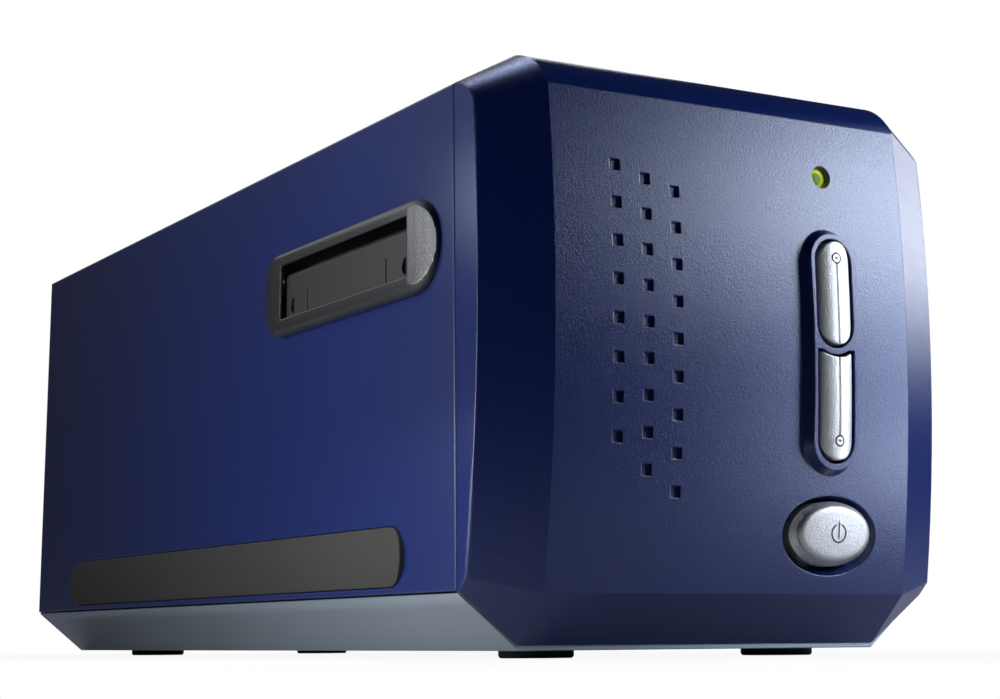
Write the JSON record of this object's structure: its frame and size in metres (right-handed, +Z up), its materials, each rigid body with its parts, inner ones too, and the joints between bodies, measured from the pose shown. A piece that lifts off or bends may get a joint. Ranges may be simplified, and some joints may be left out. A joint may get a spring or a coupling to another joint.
{
  "type": "film negative scanner",
  "caption": "Desk-top film negative scanner: long chamfered case with a bowed, faceted bezel, raised scan buttons, sprung dust doors over a through slot and a belt-driven optics carriage.",
  "frame": {"origin": "On the table, under the middle of the whole scanner's outline", "axes": "+Z up, +Y to the back along the case, +X to the right seen from the front bezel"},
  "size_m": [0.12, 0.2752, 0.119],
  "materials": {
    "cover_blue": "satin moulded ABS, deep navy",
    "bezel_blue": "pebble-grained ABS, purple navy",
    "panel_blue": "satin moulded ABS",
    "tray_silver": "blue-grey silver moulded ABS",
    "foot_rubber": "matt black",
    "trim_black": "fine-grained black ABS",
    "door_black": "fine-grained black ABS",
    "strip_rubber": "soft dark grey",
    "button_silver": "silver paint with a fine grain",
    "lens_green": "clear yellow-green light pipe",
    "board_green": "glass-epoxy with solder mask",
    "steel": "bright",
    "chassis_grey": "glass-filled moulding",
    "gate_black": "matt black, against stray light",
    "carriage_grey": "glass-filled moulding",
    "bronze": "sintered bearing bronze",
    "lamp_white": "diffuser of the light bar",
    "mirror_glass": "front-silvered glass",
    "barrel_black": "black anodised",
    "pulley_white": "acetal",
    "belt_rubber": "polyurethane belt",
    "socket_black": "moulded"
  },
  "bodies": {
    "case": {"top_cover": "cover_blue", "front_bezel": "bezel_blue", "base_tray": "tray_silver", "rear_panel": "panel_blue", "front_left_foot": "foot_rubber", "front_right_foot": "foot_rubber", "rear_left_foot": "foot_rubber", "rear_right_foot": "foot_rubber", "left_slot_surround": "trim_black", "right_slot_surround": "trim_black", "left_hinge_pin": "steel", "right_hinge_pin": "steel", "left_grip_strip": "strip_rubber", "right_grip_strip": "strip_rubber", "indicator_lens": "lens_green", "button_board": "board_green", "button_board_screws": "steel", "chassis": "chassis_grey", "film_gate": "gate_black", "guide_rods": "steel", "drive_motor": "steel", "idler_pin": "steel", "drive_belt": "belt_rubber", "home_sensor": "socket_black", "main_board": "board_green", "usb_socket": "steel", "power_inlet": "socket_black", "base_screws": "steel", "rear_screws": "steel"},
    "left_door": {"left_dust_door": "door_black"},
    "right_door": {"right_dust_door": "door_black"},
    "upper_key": {"upper_scan_button": "button_silver"},
    "lower_key": {"lower_scan_button": "button_silver"},
    "power_key": {"power_button": "button_silver"},
    "scan_carriage": {"carriage": "carriage_grey", "rod_bushes": "bronze", "light_bar": "lamp_white", "scan_mirror": "mirror_glass", "lens_barrel": "barrel_black", "sensor_board": "board_green"},
    "motor_wheel": {"motor_pulley": "pulley_white"},
    "idler_wheel": {"idler_pulley": "pulley_white"}
  },
  "joints": [
    {"name": "left_door_hinge", "type": "hinge", "parent": "case", "child": "left_door", "pos_m": [-0.05715, -0.07255, 0.0845], "axis": [0, -1, 0], "range_deg": [0, 86], "stiffness_Nm_per_rad": 0.002, "springref_deg": -17.19},
    {"name": "right_door_hinge", "type": "hinge", "parent": "case", "child": "right_door", "pos_m": [0.05715, -0.07255, 0.0845], "axis": [0, 1, 0], "range_deg": [0, 86], "stiffness_Nm_per_rad": 0.002, "springref_deg": -17.19},
    {"name": "upper_button_press", "type": "slide", "parent": "case", "child": "upper_key", "axis": [0, 1, 0], "range_m": [0, 0.0008], "stiffness_N_per_m": 600, "springref_m": -0.0004},
    {"name": "lower_button_press", "type": "slide", "parent": "case", "child": "lower_key", "axis": [0, 1, 0], "range_m": [0, 0.0008], "stiffness_N_per_m": 600, "springref_m": -0.0004},
    {"name": "power_button_press", "type": "slide", "parent": "case", "child": "power_key", "axis": [0, 1, 0], "range_m": [0, 0.0008], "stiffness_N_per_m": 600, "springref_m": -0.0004},
    {"name": "carriage_slide", "type": "slide", "parent": "case", "child": "scan_carriage", "axis": [0, -1, 0], "range_m": [0, 0.03]},
    {"name": "motor_spin", "type": "hinge", "parent": "case", "child": "motor_wheel", "pos_m": [0, 0.07765, 0.0387], "axis": [1, 0, 0], "range_deg": [0, 316]},
    {"name": "idler_spin", "type": "hinge", "parent": "case", "child": "idler_wheel", "pos_m": [0, -0.08255, 0.0387], "axis": [1, 0, 0], "range_deg": [0, 316]}
  ],
  "couplings": [
    {"joint": "motor_spin", "follows": "carriage_slide", "rad_per_m": 183.49},
    {"joint": "idler_spin", "follows": "carriage_slide", "rad_per_m": 183.49}
  ]
}
